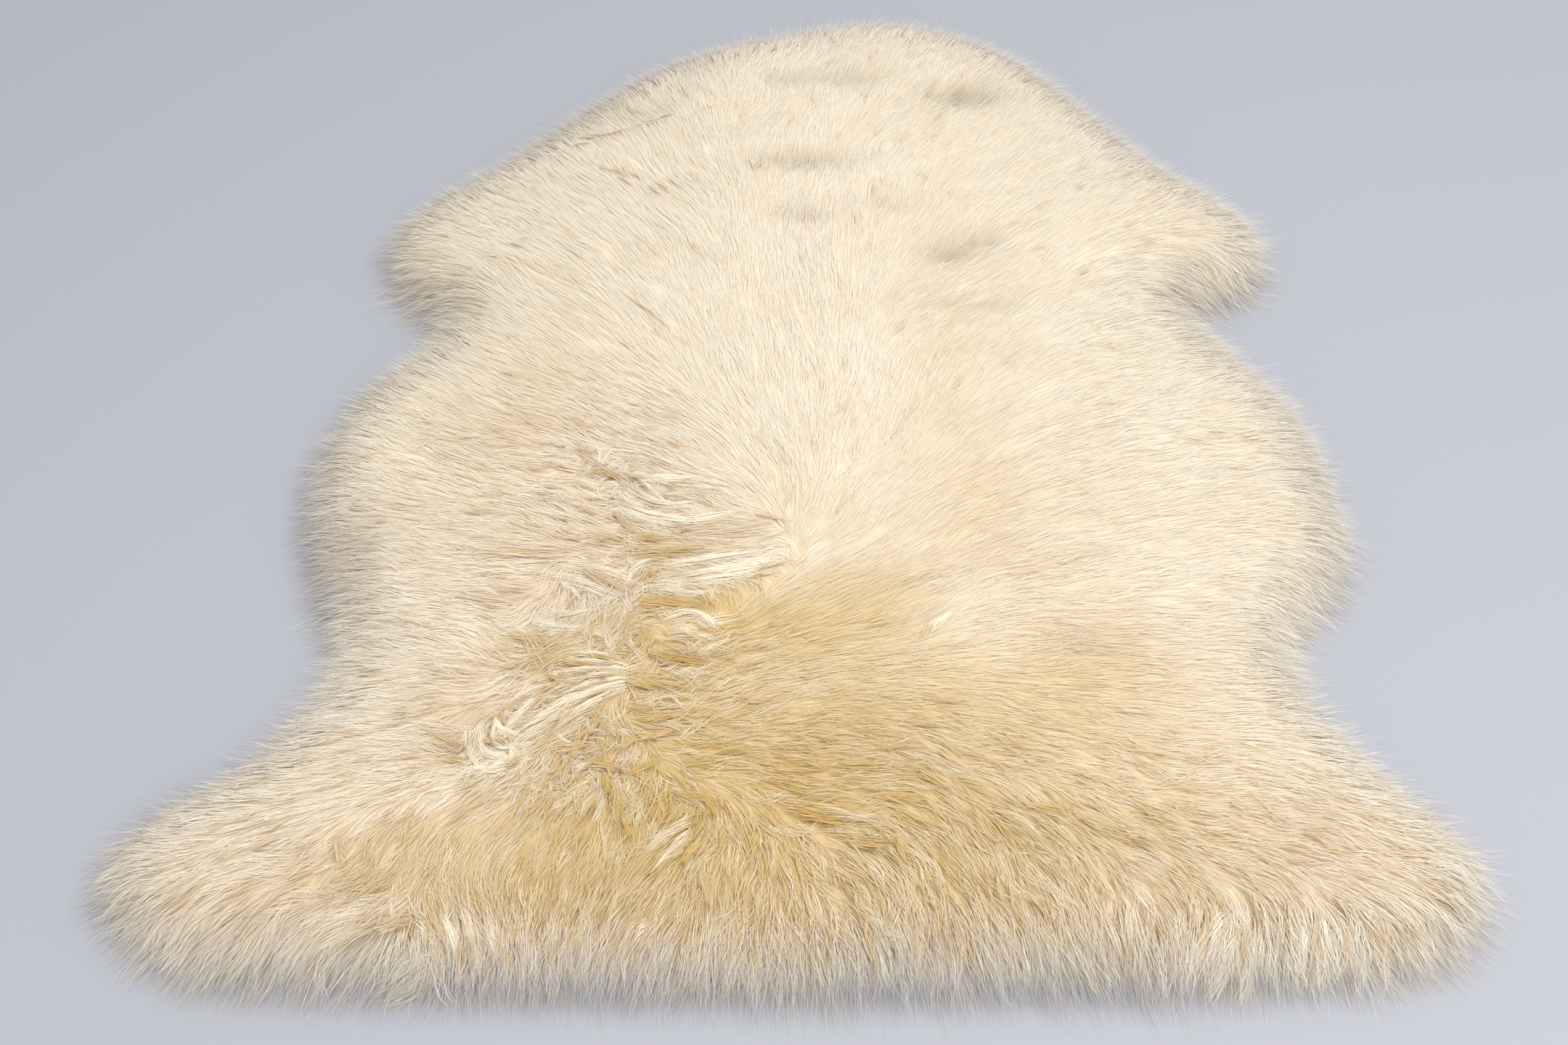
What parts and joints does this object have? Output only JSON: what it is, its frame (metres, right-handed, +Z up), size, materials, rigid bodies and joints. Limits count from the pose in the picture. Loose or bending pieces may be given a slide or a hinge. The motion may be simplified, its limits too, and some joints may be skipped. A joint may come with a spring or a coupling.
{
  "type": "sheepskin rug",
  "caption": "Single long-wool sheepskin rug in natural cream, lying flat with its wool up, with the hide's neck, foreleg and hind-leg lobes.",
  "frame": {"origin": "on the floor, under the middle of the rug's length and width", "axes": "+Z up out of the wool, +Y along the spine to the neck, +X to the right with the neck away from the viewer"},
  "size_m": [0.954, 1.044, 0.055],
  "materials": {
    "wool": "long combed natural wool, soft and matt with a faint sheen",
    "hide": "suede side of the tanned hide, matt"
  },
  "bodies": {
    "root": {"sheepskin": "wool"}
  },
  "joints": []
}
